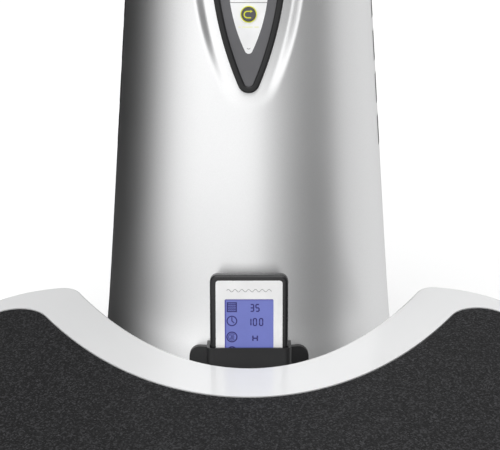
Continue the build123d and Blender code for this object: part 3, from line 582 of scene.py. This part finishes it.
def remote_display():
    """The figures and icons on the remote's display, and a painted shadow along its top and left edges: a
    darker, dimmer strip standing in for the shade its frame casts.
    """
    ink = Print(REMOTE, LCD_LEVEL)
    for character, x, y in (("3", 3.5, 57.7), ("5", 9.8, 57.7),
                            ("1", 0.3, 40.8), ("0", 6.8, 40.8), ("0", 14.0, 40.8)):
        ink.digit((x, y), 8.1, SEGMENTS[character], 1.4, 1.8)
    ink.digit((7.0, 21.4), 6.6, SEGMENTS["H"], 1.6, 2.6)
    ink.digit((7.3, 4.8), 7.6, SEGMENTS["2"])
    frequency_icon(ink, 58.6)
    clock_icon(ink, 42.2)
    strength_icon(ink, 23.0)
    dial_icon(ink, 5.9)
    ink.finish("remote_display_ink", LCD_INK, "remote", "lcd_blue")

    # painted shadow: thin dark bars along the display's top and left edges stand in for the shade of its
    # frame
    painted_shadow = Print(REMOTE, LCD_LEVEL - 0.005, 0.05)
    painted_shadow.bar((-28.3, 67.5), (28.3, 67.5), 1.2)
    painted_shadow.bar((-27.7, -1.9), (-27.7, 68.1), 1.2)
    painted_shadow.finish("remote_display_painted_shadow", LCD_PAINTED_SHADOW, "remote", "lcd_blue")


def remote_wave_line():
    """A plain wave line above the remote's display."""
    wave = Print(REMOTE, 0.0, 0.06)
    wave.path([(-26 + 0.5 * k, 78.4 + 1.5 * sin(k * 0.4)) for k in range(105)], 0.6)
    wave.finish("remote_wave_line", GRAY_PRINT, "remote", "face_white")


def console_prints():
    """The lowest key's ring and arrow, the label's thin rules and a short dashed line under the key."""
    halo = Print(CONSOLE, LABEL_LEVEL, 1.2)
    halo.ring(KEY, 8.85, 1.0, steps=64)
    halo.finish("console_key_ring", LIME, "base", "label_white")

    arrow = Print(CONSOLE, KEY_LEVEL, 0.1)
    bend = (KEY[0] - 1.4, KEY[1] - 0.3)
    arrow.ring(bend, 3.6, 1.3, 90, 270, 24)
    arrow.bar((bend[0], bend[1] + 3.6), (KEY[0] + 2.2, bend[1] + 3.6), 1.3)
    arrow.bar((bend[0], bend[1] - 3.6), (KEY[0] + 2.8, bend[1] - 3.6), 1.3)
    arrow.shape([(KEY[0] + 1.8, KEY[1] + 1.7), (KEY[0] + 4.6, KEY[1] + 3.3), (KEY[0] + 1.8, KEY[1] + 4.9)])
    arrow.finish("console_key_arrow", LIME, "console_button_repeat", "button_gray")

    marks = Print(CONSOLE, LABEL_LEVEL, 0.06)
    marks.bar((-21.2, 102.4), (21.2, 102.4), 0.8)
    marks.ring((0, 52.0), 1.9, 0.7, 200, 340, 12)
    for y in (155, 196, 238, 279):
        marks.bar((-20, y), (20, y), 0.6)
    marks.finish("console_marks", GRAY_PRINT, "base", "label_white")

    caption = Print(CONSOLE, LABEL_LEVEL, 0.06)
    for start, end in ((-11.5, -9), (-7.5, 4.5), (6.5, 11.5)):
        caption.bar((start, 74.8), (end, 74.8), 1.5)
    caption.finish("console_caption_bar", PALE_LIME, "base", "label_white")


def column_dashes():
    """Plain dashes up both sides of the column, each bent to its surface and a hair proud of it."""
    mesh = bmesh.new()
    for side in (-1, 1):
        for count in range(DASH_COUNT):
            rows = []
            for j in range(7):
                z = (DASH_BOTTOM + DASH_PITCH * count + DASH_HEIGHT * j / 6) * MM
                row = []
                for k in range(5):
                    turn = radians(79 + 7 * k / 4) * side
                    proud = Vector((sin(turn), -cos(turn), 0)) * 0.12 * MM
                    row.append(mesh.verts.new(column_point(z, turn) + proud))
                rows.append(row)
            join_rows(mesh, rows, flip=side < 0)
    mesh_piece("column_dashes", mesh, GRAPHITE, "base")


remote_display()
remote_wave_line()
console_prints()
column_dashes()

# ---------------------------------------------------------------- studio

FLOOR_HALF_SIZE = 14
CEILING = 2.4
CEILING_STARTS = 0.66
CEILING_FULL = 0.92
# brightness of the walls by direction seen from the machine: degrees to the right of the user
WALLS = (
    (-180, 0.0), (-130, 0.005), (-110, 0.04), (-94, 0.19), (-78, 0.57), (-62, 1.0), (-40, 1.2), (4, 1.19),
    (20, 0.66), (34, 0.34), (50, 0.19), (66, 0.19), (74, 0.31), (81, 0.6), (92, 0.72), (120, 0.8),
    (150, 0.76), (166, 0.5), (179, 0.02),
)


def studio_floor():
    """A plain pale sheet under the machine."""
    grid = bmesh.new()
    bmesh.ops.create_grid(grid, x_segments=8, y_segments=8, size=FLOOR_HALF_SIZE)
    mesh = bpy.data.meshes.new("floor")
    grid.to_mesh(mesh)
    grid.free()
    paper = Finish("studio_floor", (0.9, 0.9, 0.9), 0.85)
    paper.tint(paper.noise(0.8, 2), 0.985, 1.0)
    mesh.materials.append(paper.material)
    floor = bpy.data.objects.new("floor", mesh)
    bpy.context.scene.collection.objects.link(floor)
    floor.visible_glossy = False


def hide_low_pieces_from_gloss():
    """The column's foot mirrors the room and the mat, not the pieces round and under the deck."""
    for name, node in nodes.items():
        if name != "platform_mat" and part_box(name)[1][2] < DECK_Z + 5 * MM:
            node.visible_glossy = False


def studio_world():
    """Soft light all round: bright in front and to the left, grey to the front right, dark behind
    left, and a wide bright ceiling. The camera itself sees plain white behind the floor."""
    world = bpy.data.worlds.new("studio")
    bpy.context.scene.world = world
    world.use_nodes = True
    tree = world.node_tree
    background = tree.nodes["Background"]

    def math(operation, *values):
        node = tree.nodes.new("ShaderNodeMath")
        node.operation = operation
        for socket, value in zip(node.inputs, values):
            if isinstance(value, (int, float)):
                socket.default_value = value
            else:
                tree.links.new(value, socket)
        return node.outputs[0]

    def blend(factor, first, second):
        node = tree.nodes.new("ShaderNodeMix")
        node.data_type = "RGBA"
        for socket, value in (("Factor", factor), ("A", first), ("B", second)):
            if isinstance(value, float):
                node.inputs[socket].default_value = (value, value, value, 1)
            else:
                tree.links.new(value, node.inputs[socket])
        return node.outputs["Result"]

    direction = tree.nodes.new("ShaderNodeTexCoord").outputs["Generated"]
    split = tree.nodes.new("ShaderNodeSeparateXYZ")
    tree.links.new(direction, split.inputs[0])
    azimuth = math("ARCTAN2", split.outputs["X"], math("MULTIPLY", split.outputs["Y"], -1.0))
    round_about = math("ADD", math("DIVIDE", azimuth, 2 * pi), 0.5)

    ramp = tree.nodes.new("ShaderNodeValToRGB")
    ramp.color_ramp.interpolation = "EASE"
    elements = ramp.color_ramp.elements
    while len(elements) > 1:
        elements.remove(elements[-1])
    for k, (bearing, value) in enumerate(WALLS):
        position = bearing / 360 + 0.5
        element = elements[0] if k == 0 else elements.new(position)
        element.position = position
        element.color = (value, value, value, 1)
    tree.links.new(round_about, ramp.inputs["Fac"])

    ceiling = tree.nodes.new("ShaderNodeMapRange")
    ceiling.interpolation_type = "SMOOTHSTEP"
    ceiling.inputs["From Min"].default_value = CEILING_STARTS
    ceiling.inputs["From Max"].default_value = CEILING_FULL
    tree.links.new(split.outputs["Z"], ceiling.inputs["Value"])
    light = blend(ceiling.outputs["Result"], ramp.outputs["Color"], CEILING)
    seen = blend(tree.nodes.new("ShaderNodeLightPath").outputs["Is Camera Ray"], light, 1.0)
    tree.links.new(seen, background.inputs["Color"])


studio_floor()
hide_low_pieces_from_gloss()
studio_world()

# ---------------------------------------------------------------- camera

PITCH = radians(25)
YAW = radians(0.25)
LENS = 93.888
SENSOR_WIDTH = 36
PIVOT = Vector((0, 25 * MM, DECK_Z))
DISTANCE = 1.5
RISE = 0.1633
SIDESTEP = 0.0009


def camera():
    """Looks down on the console's foot and the deck, from in front."""
    forward = Vector((sin(YAW) * cos(PITCH), cos(YAW) * cos(PITCH), -sin(PITCH)))
    data = bpy.data.cameras.new("camera")
    data.sensor_width = SENSOR_WIDTH
    data.lens = LENS
    view = bpy.data.objects.new("camera", data)
    bpy.context.scene.collection.objects.link(view)
    view.rotation_mode = "QUATERNION"
    view.rotation_quaternion = forward.to_track_quat("-Z", "Y")
    up = view.rotation_quaternion @ Vector((0, 1, 0))
    right = view.rotation_quaternion @ Vector((1, 0, 0))
    view.location = PIVOT - DISTANCE * forward + RISE * up + SIDESTEP * right
    bpy.context.scene.camera = view


camera()
bpy.context.scene.view_settings.view_transform = "Standard"
